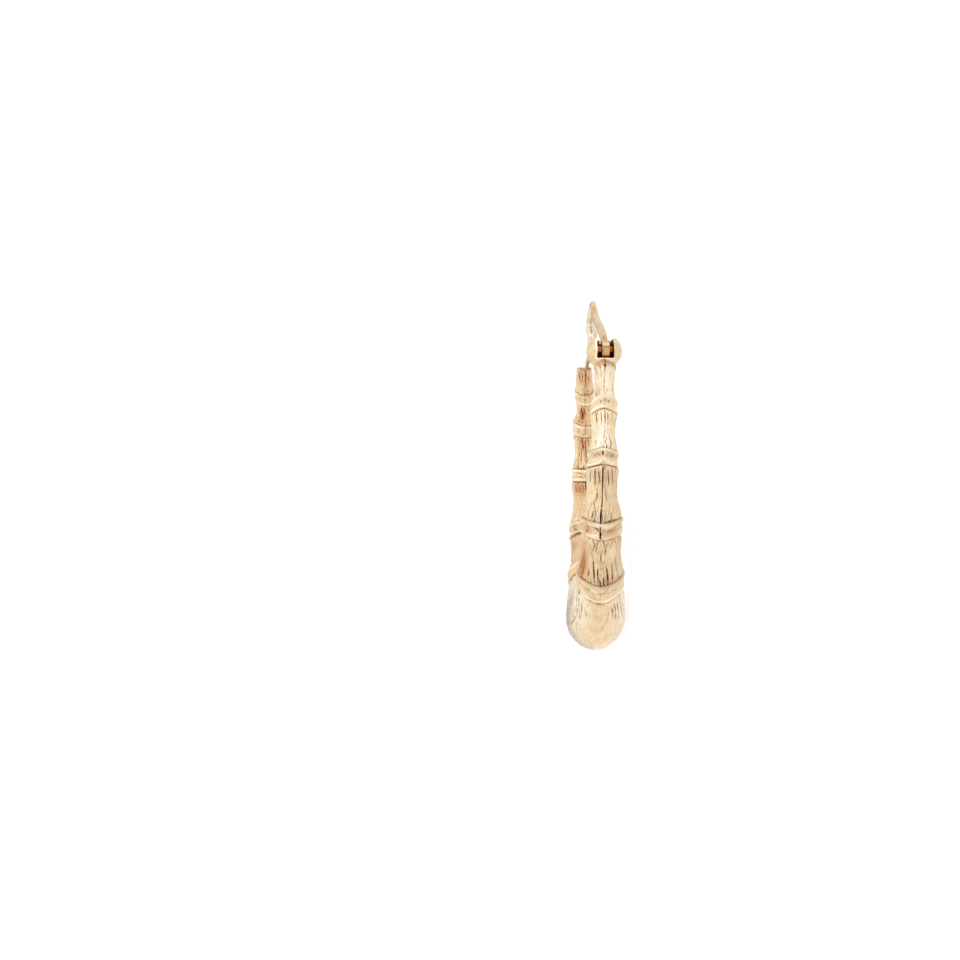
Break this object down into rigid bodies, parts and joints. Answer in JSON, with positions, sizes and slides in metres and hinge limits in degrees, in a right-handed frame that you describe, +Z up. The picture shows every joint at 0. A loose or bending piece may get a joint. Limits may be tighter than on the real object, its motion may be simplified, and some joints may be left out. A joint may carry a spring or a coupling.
{
  "type": "bamboo hoop earring",
  "caption": "Round gold hoop earring of jointed bamboo cane, fat at the bottom, slim at its open ends, with a hinged latch wire that closes over the gap for the ear.",
  "frame": {"origin": "centre of the footprint, on the surface that the earring lies on", "axes": "+Z up from the surface it lies on, across the hoop; +Y up the hoop towards the latch, as it is worn; +X towards the front of the ear, where the hinge is"},
  "size_m": [0.0295, 0.0336, 0.0055],
  "materials": {
    "hoop_gold": "satin yellow gold, stamped with bamboo fibre, bright on the rings",
    "pin_gold": "polished yellow gold",
    "latch_gold": "polished pale yellow gold"
  },
  "bodies": {
    "hoop": {"bamboo_hoop": "hoop_gold", "hinge_pin": "pin_gold"},
    "latch": {"latch_bar": "latch_gold"}
  },
  "joints": [
    {"name": "latch_hinge", "type": "hinge", "parent": "hoop", "child": "latch", "pos_m": [0.00798, 0.01107, 0.00152], "axis": [-0.0444, -0.032, -0.9985], "range_deg": [0, 80]}
  ]
}
